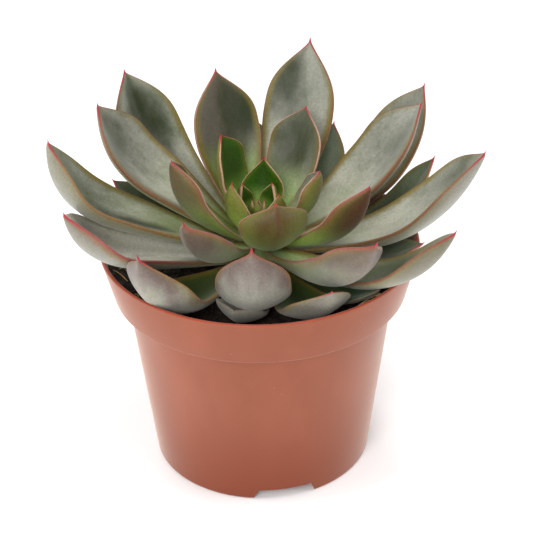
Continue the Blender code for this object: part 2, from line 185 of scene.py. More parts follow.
# How each leaf is coloured: the silvery bloom on its face, which past 1 also paints light on a face in shade,
# and on its back, how far it is flushed with brown or purple, how fresh its green is, how rosy its margin is,
# and how dark its patch is, partly bloom rubbed off and partly painted shade, which lies across and along the
# face from its middle.
Look = namedtuple("Look", "bloom back flush fresh rosy rubbed across along")
HEART_LOOK = Look(0.0, 0.0, 0.2, 1.0, 0.6, 0.1, 0.0, 0.7)
LOW_LOOK = Look(0.30, 0.75, 0.1, 0.3, 0.4, 0.5, 0.2, 0.6)
LOOKS = {
    1: HEART_LOOK,
    2: HEART_LOOK,
    3: Look(0.0, 0.0, 0.45, 1.0, 0.8, 0.1, 0.0, 0.7),
    4: Look(0.0, 0.0, 0.1, 1.0, 0.5, 0.4, 0.0, 0.75),
    5: Look(0.0, 0.0, 0.2, 1.0, 0.8, 0.2, 0.0, 0.7),
    6: Look(0.45, 0.05, 0.5, 0.9, 0.9, 0.0, 0.0, 0.7),
    7: Look(0.04, 0.15, 0.2, 0.95, 0.8, 0.5, -0.2, 0.7),
    8: Look(0.10, 0.05, 0.8, 0.85, 1.0, 0.3, 0.0, 0.7),
    9: Look(0.34, 0.3, 0.60, 0.5, 0.8, 0.6, 0.2, 0.7),
    10: Look(0.25, 0.28, 0.75, 0.5, 1.0, 0.3, 0.0, 0.7),
    11: Look(0.60, 0.08, 0.95, 0.5, 1.0, 0.3, 0.0, 0.7),
    12: Look(0.20, 0.4, 0.95, 0.2, 0.7, 1.2, -0.5, 0.72),
    13: Look(0.40, 0.50, 0.8, 0.3, 1.0, 0.4, 0.0, 0.7),
    14: Look(0.74, 0.65, 0.35, 0.1, 0.8, 0.45, -0.35, 0.80),
    15: Look(0.60, 0.30, 0.55, 0.0, 0.8, 0.5, 0.1, 0.80),
    16: Look(0.45, 0.66, 0.75, 0.3, 1.0, 0.4, 0.2, 0.6),
    17: Look(0.76, 0.7, 0.15, 0.0, 0.7, 0.95, 0.65, 0.76),
    18: Look(0.50, 0.72, 0.15, 0.1, 0.35, 1.2, 0.45, 0.52),
    19: Look(0.76, 0.85, 0.25, 0.0, 0.6, 0.4, 0.5, 0.80),
    20: Look(0.70, 0.8, 0.05, 0.5, 0.6, 1.0, -0.20, 0.78),
    21: Look(0.40, 0.95, 0.9, 0.3, 1.0, 0.4, 0.0, 0.6),
    22: Look(0.68, 0.7, 0.15, 0.1, 0.6, 0.3, 0.2, 0.80),
    24: Look(0.35, 0.52, 0.4, 0.6, 0.8, 0.4, 0.2, 0.60),
    # Leaves 26 and 38 have bloom past 1. This paints their faces pale, a painted light on faces that lie in
    # shade.
    26: Look(1.7, 0.80, 0.35, 0.1, 1.0, 0.2, 0.4, 0.85),
    29: Look(0.05, 0.90, 0.3, 0.9, 0.2, 0.9, 0.0, 0.5),
    34: Look(0.03, 0.90, 0.85, 0.9, 0.3, 0.4, 0.0, 0.5),
    37: Look(0.08, 0.60, 0.0, 0.9, 0.0, 0.2, 0.0, 0.5),
    38: Look(2.20, 0.95, 0.1, 0.2, 0.0, 0.0, 0.0, 0.5),
}


# What lies on the peat.
CRUMBS = 900
CRUMB_RADIUS = (0.35, 1.1)
FIBRES = 110
FIBRE_LENGTH = (3.5, 11.0)
FIBRE_RADIUS = 0.26
FIBRE_POINTS = 7
PEAT_RELIEF = 1.6
PEAT_GRAIN = 3.2
PEAT_RINGS = 70
PEAT_STEPS = 220

# The camera stands 0.6 m from a point in the middle of the plant.
CAMERA_TARGET = (2.2, 0.0, 68.5)
CAMERA_DISTANCE = 600.0
CAMERA_ELEVATION = 31.0
CAMERA_ROLL = -0.9
CAMERA_LENS = 122.5


def srgb(red, green, blue):
    """Linear red, green, blue and alpha from the screen's 0 to 255."""
    values = [v / 255 for v in (red, green, blue)]
    linear = [v / 12.92 if v <= 0.04045 else ((v + 0.055) / 1.055) ** 2.4 for v in values]
    return (*linear, 1.0)


# Leaf colours, from the screen.
FRESH_GREEN = srgb(40, 80, 6)
GREY_GREEN = srgb(68, 80, 54)
# The dark patch's green: partly bloom rubbed off, partly painted shade.
RUBBED_GREEN_AND_SHADE = srgb(38, 46, 20)
FLUSHED_GREEN = srgb(62, 52, 38)
HEART_BASE = srgb(158, 190, 92)
OUTER_BASE = srgb(170, 176, 136)
BARE_BASE = srgb(74, 84, 40)
SILVER = srgb(142, 143, 131)
SILVER_BASE = srgb(178, 177, 160)
# Pale thick bloom, which is also the painted light on the shaded faces of leaves 26 and 38.
THICK_BLOOM_AND_PAINTED_LIGHT = srgb(206, 204, 190)
OLIVE_BAND = srgb(112, 98, 36)
OLIVE_LINE = srgb(124, 98, 52)
ROSE_LINE = srgb(112, 62, 50)
PINK_LINE = srgb(130, 64, 62)
GREEN_LINE = srgb(120, 110, 50)
# A pale margin, partly a painted highlight where the thin edge catches light.
PALE_LINE_AND_HIGHLIGHT = srgb(184, 146, 130)
CRIMSON_TIP = srgb(150, 28, 50)
BACK_OLIVE = srgb(92, 94, 40)
BACK_FRESH = srgb(112, 120, 54)
BACK_BROWN = srgb(76, 46, 28)
BACK_PURPLE = srgb(90, 44, 44)
BACK_SILVER = srgb(140, 141, 129)
# The keel's pale strip: thick bloom, and painted light where the back faces down into shade.
BACK_KEEL_BLOOM_AND_LIGHT = srgb(206, 203, 192)
BACK_FOOT = srgb(128, 130, 84)
BACK_MAUVE = srgb(86, 68, 64)
BACK_BLUSH = srgb(128, 74, 58)


def eased(x):
    """0 below 0, 1 above 1, and a smooth step between."""
    x = np.clip(x, 0.0, 1.0)
    return x * x * (3.0 - 2.0 * x)


class Tree:
    """A material's nodes. Each method adds one node and returns its output."""

    def __init__(self, name):
        self.material = bpy.data.materials.new(name)
        self.material.use_nodes = True
        self.nodes = self.material.node_tree.nodes
        self.links = self.material.node_tree.links
        self.shader = self.nodes["Principled BSDF"]

    def put(self, socket, value):
        """A link from an output, or a value of the socket's own."""
        if isinstance(value, bpy.types.NodeSocket):
            self.links.new(value, socket)
        else:
            socket.default_value = value

    def attribute(self, name):
        node = self.nodes.new("ShaderNodeAttribute")
        node.attribute_name = name
        return node.outputs["Vector"]

    def split(self, vector):
        node = self.nodes.new("ShaderNodeSeparateXYZ")
        self.put(node.inputs[0], vector)
        return node.outputs

    def position(self):
        return self.nodes.new("ShaderNodeTexCoord").outputs["Object"]

    def stretched(self, vector, scale):
        node = self.nodes.new("ShaderNodeVectorMath")
        node.operation = "MULTIPLY"
        self.put(node.inputs[0], vector)
        node.inputs[1].default_value = scale
        return node.outputs[0]

    def noise(self, vector, scale, detail=3.0, roughness=0.5):
        node = self.nodes.new("ShaderNodeTexNoise")
        self.put(node.inputs["Vector"], vector)
        node.inputs["Scale"].default_value = scale
        node.inputs["Detail"].default_value = detail
        node.inputs["Roughness"].default_value = roughness
        return node.outputs["Fac"]

    def cells(self, vector, scale):
        node = self.nodes.new("ShaderNodeTexVoronoi")
        self.put(node.inputs["Vector"], vector)
        node.inputs["Scale"].default_value = scale
        return node.outputs["Distance"]

    def math(self, operation, first, second=0.0):
        node = self.nodes.new("ShaderNodeMath")
        node.operation = operation
        self.put(node.inputs[0], first)
        self.put(node.inputs[1], second)
        return node.outputs[0]

    def step(self, value, low, high, start=0.0, end=1.0):
        """start below low, end above high, and a smooth step between."""
        node = self.nodes.new("ShaderNodeMapRange")
        node.interpolation_type = "SMOOTHSTEP"
        self.put(node.inputs["Value"], value)
        node.inputs["From Min"].default_value = low
        node.inputs["From Max"].default_value = high
        node.inputs["To Min"].default_value = start
        node.inputs["To Max"].default_value = end
        return node.outputs["Result"]

    def mix(self, share, first, second):
        node = self.nodes.new("ShaderNodeMix")
        node.data_type = "RGBA"
        self.put(node.inputs["Factor"], share)
        self.put(node.inputs[6], first)
        self.put(node.inputs[7], second)
        return node.outputs[2]

    def bump(self, height, distance, strength=1.0, under=None):
        node = self.nodes.new("ShaderNodeBump")
        node.inputs["Distance"].default_value = distance
        node.inputs["Strength"].default_value = strength
        self.put(node.inputs["Height"], height)
        if under is not None:
            self.put(node.inputs["Normal"], under)
        return node.outputs[0]

    def set(self, **values):
        """Sets the shader's sockets, with _ for a space in their names."""
        for name, value in values.items():
            self.put(self.shader.inputs[name.replace("_", " ")], value)


def leaf_material(name, gloss, sheen):
    """Waxy leaf skin. Its pattern follows each leaf's own length and width, from the mesh's attributes."""
    t = Tree(name)
    across, along, face = t.split(t.attribute("leaf_place"))
    edge, age, back_bloom = t.split(t.attribute("leaf_look"))
    bloom, rubbed, flush = t.split(t.attribute("leaf_bloom"))
    aside, beyond, fresh = t.split(t.attribute("leaf_patch"))
    rosy, near, _ = t.split(t.attribute("leaf_line"))
    span = t.attribute("leaf_span")
    upper = t.step(face, -0.12, 0.12)
    clouds = t.noise(t.stretched(span, (1.0, 0.5, 1.0)), 0.11, 3.0, 0.5)
    mottle = t.noise(t.stretched(span, (1.0, 0.6, 1.0)), 0.45, 4.0, 0.6)
    powder = t.noise(span, 1.3, 4.0, 0.7)
    veil = t.math("MULTIPLY", t.math("SUBTRACT", clouds, 0.5), 1.7)
    veil = t.math("ADD", veil, t.math("MULTIPLY", t.math("SUBTRACT", mottle, 0.5), 0.8))

    # The upper face: fresh green in the heart, and under silvery bloom farther out, with a dark patch that is
    # partly bloom rubbed off and partly painted shade.
    green = t.mix(fresh, GREY_GREEN, FRESH_GREEN)
    green = t.mix(t.math("MULTIPLY", flush, t.step(along, 0.15, 0.6)), green, FLUSHED_GREEN)
    base = t.mix(t.step(bloom, 0.05, 0.20), BARE_BASE, OUTER_BASE)
    base = t.mix(t.step(age, 0.30, 0.60), HEART_BASE, base)
    green = t.mix(t.step(along, 0.15, 0.62, 0.85, 0.0), green, base)
    dust = t.math("MULTIPLY", bloom, t.math("ADD", 1.0, veil))
    dust = t.math("MULTIPLY", dust, t.step(along, 0.1, 0.4, 0.7, 1.0))
    silver = t.mix(t.step(along, 0.30, 0.80), SILVER_BASE, SILVER)
    # Past a bloom of 0.9 the silver turns pale: thick bloom, and on leaves 26 and 38 a painted light on faces
    # in shade.
    silver = t.mix(t.step(dust, 0.9, 1.6, 0.0, 0.8), silver, THICK_BLOOM_AND_PAINTED_LIGHT)
    top = t.mix(t.step(dust, 0.0, 1.0), green, silver)
    # The dark patch: bloom rubbed off, and on faces that lie in shade a painted shade.
    patch = t.math("ADD", t.math("POWER", t.math("DIVIDE", aside, 0.6), 2.0), beyond)
    patch = t.math("ADD", patch, t.math("MULTIPLY", t.math("SUBTRACT", clouds, 0.5), 1.6))
    patch = t.math("MULTIPLY", t.step(patch, 1.6, -0.3), rubbed)
    top = t.mix(patch, top, RUBBED_GREEN_AND_SHADE)

    # The lower face: olive to brown on the inner leaves, and silver with mauve near the tip on the outer, paler
    # along the keel with thick bloom and painted light.
    middle = t.math("ABSOLUTE", across)
    olive = t.mix(t.step(fresh, 0.5, 1.0), BACK_OLIVE, BACK_FRESH)
    inner = t.mix(t.step(along, 0.10, 0.72), base, olive)
    brown = t.math("ADD", along, t.math("MULTIPLY", t.math("SUBTRACT", clouds, 0.5), 0.6))
    stain = t.math("MULTIPLY", t.step(brown, 0.38, 0.90), t.step(middle, 0.25, 0.95, 1.0, 0.4))
    inner = t.mix(t.math("MULTIPLY", stain, flush), inner, BACK_BROWN)
    rib = t.math("MULTIPLY", t.step(middle, 0.0, 0.08, 0.6, 0.0), flush)
    inner = t.mix(t.math("MULTIPLY", rib, t.step(along, 0.50, 0.85)), inner, BACK_PURPLE)
    mauve = t.math("MULTIPLY", t.step(brown, 0.54, 0.88), t.step(flush, 0.0, 1.0, 0.30, 1.0))
    outer = t.mix(mauve, BACK_SILVER, BACK_MAUVE)
    # A pale strip along the keel of the outer backs: thick bloom, and painted light on the part that faces down
    # into shade.
    keel = t.math("MULTIPLY", t.step(middle, 0.0, 0.8, 0.8, 0.0), t.step(along, 0.70, 0.38, 0.15, 1.0))
    outer = t.mix(keel, outer, BACK_KEEL_BLOOM_AND_LIGHT)
    outer = t.mix(t.step(along, 0.15, 0.36, 0.75, 0.0), outer, BACK_FOOT)
    dust = t.math("MULTIPLY", back_bloom, t.math("ADD", 1.0, t.math("MULTIPLY", veil, 0.45)))
    skin = t.mix(upper, t.mix(t.step(dust, 0.0, 1.0), inner, outer), top)

    # The margin: an olive band, and outside it a line, both wider on the side that is turned to the front.
    spread = t.step(near, 0.0, 1.0, 1.0, 2.3)
    from_edge = t.math("DIVIDE", edge, spread)
    wander = t.math("ADD", from_edge, t.math("MULTIPLY", t.math("SUBTRACT", mottle, 0.5), 0.9))
    blush = t.math("MULTIPLY", t.step(wander, 0.1, 1.8, 0.75, 0.0), t.step(upper, 0.5, 0.0))
    blush = t.math("MULTIPLY", blush, t.step(rosy, 0.7, 1.0))
    skin = t.mix(t.math("MULTIPLY", blush, t.step(along, 0.35, 0.65)), skin, BACK_BLUSH)
    band = t.step(wander, 0.5, 2.9, 0.92, 0.0)
    band = t.math("MULTIPLY", band, t.step(upper, 0.0, 1.0, 0.40, 1.0))
    band = t.math("MULTIPLY", band, t.step(age, 0.08, 0.40, 0.25, 1.0))
    band = t.math("MULTIPLY", band, t.step(rosy, 0.0, 0.1, 0.15, 1.0))
    skin = t.mix(t.math("MULTIPLY", band, t.step(along, 0.97, 0.70, 0.25, 1.0)), skin, OLIVE_BAND)
    rose = t.mix(t.step(rosy, 0.8, 1.0), ROSE_LINE, PINK_LINE)
    line = t.mix(t.math("MULTIPLY", rosy, t.step(along, 0.15, 0.45)), OLIVE_LINE, rose)
    line = t.mix(t.step(age, 0.06, 0.24), GREEN_LINE, line)
    # On the inner leaves the outermost strip is pale: a pale margin and a painted highlight where the thin edge
    # catches light.
    pale = t.math("MULTIPLY", t.step(from_edge, 0.04, 0.26, 0.85, 0.0), t.step(age, 0.24, 0.38, 1.0, 0.0))
    line = t.mix(pale, line, PALE_LINE_AND_HIGHLIGHT)
    strength = t.step(rosy, 0.0, 0.3, 0.35, 1.0)
    line = t.mix(t.math("MULTIPLY", t.step(along, 0.88, 0.975), strength), line, CRIMSON_TIP)
    strength = t.math("MULTIPLY", t.step(from_edge, 0.10, 0.48, 0.9, 0.0), strength)
    skin = t.mix(strength, skin, line)
    skin = t.mix(t.step(along, 0.972, 0.984, 0.0, 0.95), skin, line)
    bright = t.nodes.new("ShaderNodeHueSaturation")
    t.put(bright.inputs["Value"], t.step(powder, 0.30, 0.70, 0.86, 1.14))
    t.put(bright.inputs["Color"], skin)

    relief = t.bump(mottle, 0.00022, 0.4)
    t.set(
        Base_Color=bright.outputs[0],
        Roughness=t.step(patch, 0.0, 1.0, 0.44, 0.34),
        IOR=1.45,
        Specular_IOR_Level=gloss,
        Subsurface_Weight=0.20,
        Subsurface_Radius=(0.9, 1.0, 0.35),
        Subsurface_Scale=0.0015,
        Sheen_Weight=sheen,
        Sheen_Roughness=0.45,
        Normal=t.bump(powder, 0.00004, 0.5, relief),
    )
    return t.material


def stem_material():
    t = Tree("stem_skin")
    place = t.position()
    rings = t.noise(t.stretched(place, (1.0, 1.0, 6.0)), 90.0, 4.0)
    colour = t.mix(t.step(rings, 0.35, 0.7), srgb(96, 112, 52), srgb(150, 150, 92))
    t.set(Base_Color=colour, Roughness=0.6, Normal=t.bump(rings, 0.0004, 0.6))
    return t.material


def plastic_material():
    """Terracotta-coloured moulded plastic, with a fine moulded grain, faint flow marks and some dust, and
    painted shade on the lip and towards the foot.
    """
    t = Tree("pot_plastic")
    place = t.position()
    clouds = t.noise(place, 26.0, 4.0, 0.55)
    grain = t.noise(place, 2600.0, 2.0)
    flow = t.noise(t.stretched(place, (1.0, 1.0, 0.5)), 60.0, 3.0)
    specks = t.step(t.cells(place, 420.0), 0.10, 0.05)
    specks = t.math("MULTIPLY", specks, t.step(t.noise(place, 60.0, 2.0), 0.58, 0.72))
    colour = t.mix(clouds, srgb(127, 67, 44), srgb(134, 72, 49))
    colour = t.mix(t.step(flow, 0.4, 0.8, 0.0, 0.15), colour, srgb(178, 102, 76))
    colour = t.mix(t.math("MULTIPLY", specks, 0.5), colour, srgb(208, 166, 146))
    x, y, z = t.split(place)
    radius = t.math("SQRT", t.math("ADD", t.math("MULTIPLY", x, x), t.math("MULTIPLY", y, y)))
    # The lip's top and inner edge are painted darker and redder, a painted shade under the leaves.
    lip = t.math("ADD", t.math("MULTIPLY", t.step(radius, 0.0521, 0.0526, 1.0, 0.0), t.step(z, 0.0781, 0.0785)),
                 t.step(clouds, 0.3, 0.7, -0.15, 0.0))
    colour = t.mix(t.step(lip, 0.0, 1.0), colour, srgb(146, 52, 24))
    # Darker and more saturated towards the foot, a painted shade.
    colour = t.mix(t.step(z, 0.0, 0.044, 0.9, 0.0), colour, srgb(116, 48, 16))
    t.set(
        Base_Color=colour,
        Roughness=t.step(clouds, 0.3, 0.7, 0.34, 0.42),
        IOR=1.5,
        Specular_IOR_Level=0.3,
        Sheen_Weight=0.55,
        Sheen_Roughness=0.35,
        Sheen_Tint=(1.0, 0.82, 0.70, 1.0),
        Normal=t.bump(grain, 0.00005, 0.35),
    )
    return t.material


def peat_material():
    t = Tree("peat_crumb")
    place = t.position()
    clods = t.noise(place, 420.0, 5.0, 0.65)
    fibres = t.noise(t.stretched(place, (1.0, 0.15, 0.4)), 1500.0, 3.0)
    colour = t.mix(t.step(clods, 0.35, 0.7), srgb(20, 15, 11), srgb(68, 52, 38))
    colour = t.mix(t.step(fibres, 0.62, 0.78, 0.0, 0.5), colour, srgb(120, 92, 58))
    t.set(Base_Color=colour, Roughness=0.92, Normal=t.bump(clods, 0.0015, 0.8))
    return t.material


def straw_material():
    t = Tree("straw_fibre")
    place = t.position()
    lengthwise = t.noise(place, 900.0, 3.0)
    colour = t.mix(lengthwise, srgb(150, 112, 62), srgb(222, 190, 132))
    t.set(Base_Color=colour, Roughness=0.7, Normal=t.bump(lengthwise, 0.0001, 0.5))
    return t.material


def floor_material():
    t = Tree("pale_floor")
    speckle = t.noise(t.position(), 30.0, 3.0)
    t.set(Base_Color=t.mix(speckle, srgb(249, 249, 249), srgb(252, 252, 252)), Roughness=0.9)
    return t.material


def attachment(number):
    """Where a leaf leaves the stem: its radius and height."""
    share = number / LAST_LEAF
    radius = STEM_TOP_RADIUS + STEM_SPREAD * share**STEM_SPREAD_POWER
    height = STEM_TOP_HEIGHT - STEM_DROP * share**STEM_DROP_POWER
    return radius, height


def midrib(leaf, base):
    """The midrib from base to tip as (share of its length, radius, height, heading, length)."""
    share = np.linspace(0.0, 1.0, MIDRIB_STEPS + 1)
    middles = (share[1:] + share[:-1]) / 2
    curl = radians(leaf.curl)
    whorl = leaf.whorl

    def heading(at):
        return curl * eased((at - whorl.middle) / whorl.bend + 0.5)

    x = np.concatenate([[0.0], np.cumsum(np.cos(heading(middles)))]) / MIDRIB_STEPS
    y = np.concatenate([[0.0], np.cumsum(np.sin(heading(middles)))]) / MIDRIB_STEPS
    out = leaf.reach - base[0]
    up = leaf.height - base[1]
    length = np.hypot(out, up) / np.hypot(x[-1], y[-1])
    turn = atan2(up, out) - atan2(y[-1], x[-1])
    radius = base[0] + length * (x * cos(turn) - y * sin(turn))
    height = base[1] + length * (x * sin(turn) + y * cos(turn))
    return share, radius, height, turn + heading(share), length


def width_share(along, whorl):
    """The blade's width as a share of its widest, with a sharp point at the tip."""
    rise = BASE_WIDTH + (1 - BASE_WIDTH) * np.sin(np.clip(along / whorl.widest, 0, 1) * pi / 2) ** 1.6
    past = np.clip((along - whorl.widest) / (BLADE_END - whorl.widest), 0, 1)
    blade = np.where(along < whorl.widest, rise, (1 - past**whorl.shoulder) ** whorl.hollow)
    point = np.clip((1 - along) / (1 - POINT_START), 0, 1) * POINT_WIDTH
    ends = np.sqrt(np.clip(along / 0.02, 0, 1)) * (along < 1)
    return np.maximum(blade, point) * ends


def thickness_share(along):
    """The blade's thickness as a share of its thickest, thin at both ends."""
    rise = BASE_THICKNESS + (1 - BASE_THICKNESS) * np.sin(np.clip(along / 0.5, 0, 1) * pi / 2)
    fall = (1 - np.clip((along - 0.5) / 0.5, 0, 1) ** 2.2) ** 0.7
    body = np.maximum(np.where(along < 0.5, rise, fall), 0.12 * (along < 1))
    return body * np.sqrt(np.clip(along / 0.05, 0, 1))


def fine_lift(leaf, half, fold, along, across):
    """How far the skin's fine form rises: a crease along the midrib near the tip, and rippled margins."""
    crease = np.sqrt(across**2 + CREASE_SOFTNESS**2) - CREASE_SOFTNESS - across**2 * 0.9
    crease = crease * CREASE * half * fold * eased((along - CREASE_START) / 0.4)
    phase = leaf.azimuth + 1.4 * across
    ripple = RIPPLE * across**4 * np.sin(2 * pi * RIPPLES * along + phase)
    ripple = ripple * eased((along - RIPPLE_START) / 0.2) * np.minimum(half / 10, 1)
    return crease + ripple


def leaf_points(leaf, base, along, around):
    """Points of a leaf's skin, given their share of its length and their angle around its section."""
    share, radius, height, heading, length = midrib(leaf, base)
    r = np.interp(along, share, radius)
    z = np.interp(along, share, height)
    slope = np.interp(along, share, heading)
    half = leaf.width / 2 * width_share(along, leaf.whorl)
    fold = np.radians(leaf.base_fold + (leaf.fold - leaf.base_fold) * along)
    across = np.cos(around)
    keel = 1 + KEEL * np.exp(-((across / KEEL_WIDTH) ** 2))
    skin = np.where(np.sin(around) > 0, UPPER_SHARE, (1 - UPPER_SHARE) * keel)
    skin = skin * np.sin(around) * leaf.whorl.thickness * thickness_share(along)
    skin = np.clip(skin, -ROUNDEST * half / fold, ROUNDEST * half / fold)
    side = half * np.sin(fold * across) / fold - skin * np.sin(fold * across)
    up = half * (1 - np.cos(fold * across)) / fold + skin * np.cos(fold * across)
    up = up + fine_lift(leaf, half, fold, along, across)
    roll = radians(leaf.roll) * eased(along / ROLL_END)
    side, up = side * np.cos(roll) - up * np.sin(roll), side * np.sin(roll) + up * np.cos(roll)
    r = r - up * np.sin(slope)
    z = z + up * np.cos(slope)
    azimuth = radians(leaf.azimuth)
    x = r * cos(azimuth) - side * sin(azimuth)
    y = r * sin(azimuth) + side * cos(azimuth)
    return np.stack([x, y, z], axis=-1)


def leaf_mesh(name, leaf, look, base, sides, rings, seed):
    """A leaf's skin, with the places, distances and ages that its material reads."""
    bm = bmesh.new()
    bmesh.ops.create_uvsphere(bm, u_segments=sides, v_segments=rings, radius=1.0)
    along = np.array([(vert.co.z + 1) / 2 for vert in bm.verts])
    around = np.array([atan2(vert.co.y, vert.co.x) for vert in bm.verts])
    along = np.clip(np.round(along, 6), 0.0, 1.0)
    for vert, point in zip(bm.verts, leaf_points(leaf, base, along, around)):
        vert.co = point * MM
    lay_out(bm, along, around)
    mesh = bpy.data.meshes.new(name)
    bm.to_mesh(mesh)
    bm.free()
    half = leaf.width / 2 * width_share(along, leaf.whorl)
    across = np.cos(around)
    length = midrib(leaf, base)[4]
    edge = half * (1 - np.abs(across)) * np.sqrt(USUAL_WIDTH / leaf.width)
    same = np.ones(len(along))
    add_attribute(mesh, "leaf_place", across, along, np.sin(around))
    add_attribute(mesh, "leaf_look", edge, same * leaf.number / LAST_LEAF, same * look.back)
    add_attribute(mesh, "leaf_bloom", same * look.bloom, same * look.rubbed, same * look.flush)
    aside = across - look.across
    beyond = ((along - look.along) / 0.22) ** 2
    near = -across * cos(radians(leaf.azimuth))
    add_attribute(mesh, "leaf_patch", aside, beyond, same * look.fresh)
    add_attribute(mesh, "leaf_line", same * look.rosy, near, 0 * same)
    add_attribute(mesh, "leaf_span", half * across, length * along, same * seed * 37.0)
    mesh.shade_smooth()
    return mesh


def lay_out(bm, along, around):
    """Texture coordinates: the angle around the leaf by the share of its length."""
    layer = bm.loops.layers.uv.new("OFBake")
    for face in bm.faces:
        angles = [around[loop.vert.index] for loop in face.loops if 0.0 < along[loop.vert.index] < 1.0]
        low = min(angles)
        wraps = max(angles) - low > pi
        angles = [a + 2 * pi if wraps and a < 0 else a for a in angles]
        middle = sum(angles) / len(angles)
        for loop in face.loops:
            index = loop.vert.index
            angle = around[index] if 0.0 < along[index] < 1.0 else middle
            if wraps and angle < 0:
                angle += 2 * pi
            share = np.arccos(1 - 2 * along[index]) / pi
            loop[layer].uv = ((angle + pi) / (2 * pi) * 0.9 + 0.02, share * 0.96 + 0.02)


def add_attribute(mesh, name, x, y, z):
    attribute = mesh.attributes.new(name, "FLOAT_VECTOR", "POINT")
    attribute.data.foreach_set("vector", np.stack([x, y, z], axis=-1).astype(np.float32).ravel())


def add_piece(name, mesh, material, slot, *nodes):
    """A piece that rides with the plant and stands for its solid."""
    piece = bpy.data.objects.new(name, mesh)
    bpy.context.scene.collection.objects.link(piece)
    mesh.materials.clear()
    mesh.materials.append(material)
    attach(piece, "root")
    if nodes:
        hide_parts(*nodes)
    return piece


def mesh_from(bm, name):
    """A smooth mesh in metres from a bmesh in millimetres."""
    bmesh.ops.scale(bm, vec=(MM, MM, MM), verts=bm.verts)
    bmesh.ops.recalc_face_normals(bm, faces=bm.faces)
    mesh = bpy.data.meshes.new(name)
    bm.to_mesh(mesh)
    bm.free()
    mesh.shade_smooth()
    return mesh


def add_leaves(bud_material, material):
    for order, leaf in enumerate(LEAVES, start=1):
        node = f"leaf_{order:02d}"
        look = LOOKS.get(order, LOW_LOOK)
        base = attachment(leaf.number)
        mesh = leaf_mesh(f"{node}_skin", leaf, look, base, LEAF_SIDES, LEAF_RINGS, order)
        skin = bud_material if look.fresh > 0.9 else material
        slot = "bud_green" if leaf.whorl is BUD else "leaf_green"
        add_piece(f"{node}_skin", mesh, skin, slot, node)


def add_heart(material):
    for order, leaf in enumerate(HEART, start=1):
        base = (0.3, STEM_TOP_HEIGHT - 4.3)
        name = f"heart_leaf_{order}"
        mesh = leaf_mesh(name, leaf, HEART_LOOK, base, HEART_SIDES, HEART_RINGS, order + 50)
        add_piece(name, mesh, material, "bud_green")


def turned(profile, steps):
    """A bmesh turned about the Z axis, from (radius, height) points."""
    bm = bmesh.new()
    points = [bm.verts.new((radius, 0.0, height)) for radius, height in profile]
    edges = [bm.edges.new(pair) for pair in zip(points, points[1:])]
    bmesh.ops.spin(
        bm, geom=points + edges, cent=(0, 0, 0), axis=(0, 0, 1), angle=2 * pi, steps=steps, use_merge=True
    )
    bmesh.ops.remove_doubles(bm, verts=bm.verts, dist=0.001)
    return bm


def add_stem(material):
    foot = SOIL_MIDDLE_HEIGHT - 2.0
    steps = 48
    profile = [(0.0, STEM_TOP_HEIGHT)]
    for i in range(steps + 1):
        radius, height = attachment(LAST_LEAF * i / steps)
        profile.append((radius - GAP, height - GAP))
    profile += [(profile[-1][0], foot), (0.0, foot)]
    bm = turned(profile, 64)
    for vert in bm.verts:
        if vert.co.z > foot + 1:
            bump = noise.noise(vert.co * 0.6) * 0.12
            vert.co.x *= 1 - abs(bump) / 4
            vert.co.y *= 1 - abs(bump) / 4
    add_piece("stem_skin", mesh_from(bm, "stem_skin"), material, "stem_green", "stem")


def band_inner_radius(height):
    share = (height - POT_HEIGHT + BAND_HEIGHT) / BAND_HEIGHT
    return BAND_FOOT_RADIUS + (RIM_RADIUS - BAND_FOOT_RADIUS) * share - WALL


def soil_height(radius):
    share = eased((radius - DIP_START) / (DIP_END - DIP_START))
    return SOIL_MIDDLE_HEIGHT + (SOIL_EDGE_HEIGHT - SOIL_MIDDLE_HEIGHT) * float(share)


def peat_dip(x, y):
    """How far the crumbly surface lies below the solid's, at a place in millimetres."""
    coarse = noise.fractal(Vector((x, y, 3.0)) / PEAT_GRAIN, 0.9, 2.1, 4)
    return PEAT_RELIEF * min(max(0.45 - 0.6 * coarse, 0.0), 1.0)


def add_peat(material):
    """The peat's rough top, with a skirt down the pot's wall and a bottom."""
    edge = band_inner_radius(SOIL_EDGE_HEIGHT) - GAP
    foot = POT_HEIGHT - BAND_HEIGHT + WALL + 2 * GAP
    profile = []
    for i in range(PEAT_RINGS + 1):
        radius = edge * i / PEAT_RINGS
        profile.append((radius, soil_height(radius)))
    profile += [(BAND_FOOT_RADIUS - WALL - GAP, foot), (0.0, foot)]
    bm = turned(profile, PEAT_STEPS)
    for vert in bm.verts:
        if vert.co.z > foot + 0.1:
            vert.co.z -= peat_dip(vert.co.x, vert.co.y)
    add_piece("peat_top", mesh_from(bm, "peat_top"), material, "peat", "soil")


def on_peat(rng, low, high):
    """A random place on the peat between two radii, and its height."""
    radius = np.sqrt(rng.uniform(low**2, high**2))
    angle = rng.uniform(0, 2 * pi)
    x, y = radius * cos(angle), radius * sin(angle)
    return x, y, soil_height(radius) - peat_dip(x, y)


def add_crumbs(material):
    """Loose crumbs of peat, each a small ball with a knobbly surface."""
    rng = np.random.default_rng(SEED)
    bm = bmesh.new()
    for i in range(CRUMBS):
        x, y, z = on_peat(rng, 12.0, 49.3)
        size = rng.uniform(*CRUMB_RADIUS)
        new = bmesh.ops.create_icosphere(bm, subdivisions=1, radius=size)["verts"]
        squash = Vector(rng.uniform(0.6, 1.3, 3))
        for vert in new:
            vert.co *= 1 + 0.5 * noise.noise(vert.co * 1.8 + Vector((i, 0, 0)))
            vert.co = Vector((vert.co.x * squash.x, vert.co.y * squash.y, vert.co.z * squash.z * 0.8))
            vert.co += Vector((x, y, z - size * 0.1))
    mesh = mesh_from(bm, "peat_crumbs")
    add_piece("peat_crumbs", mesh, material, "peat")


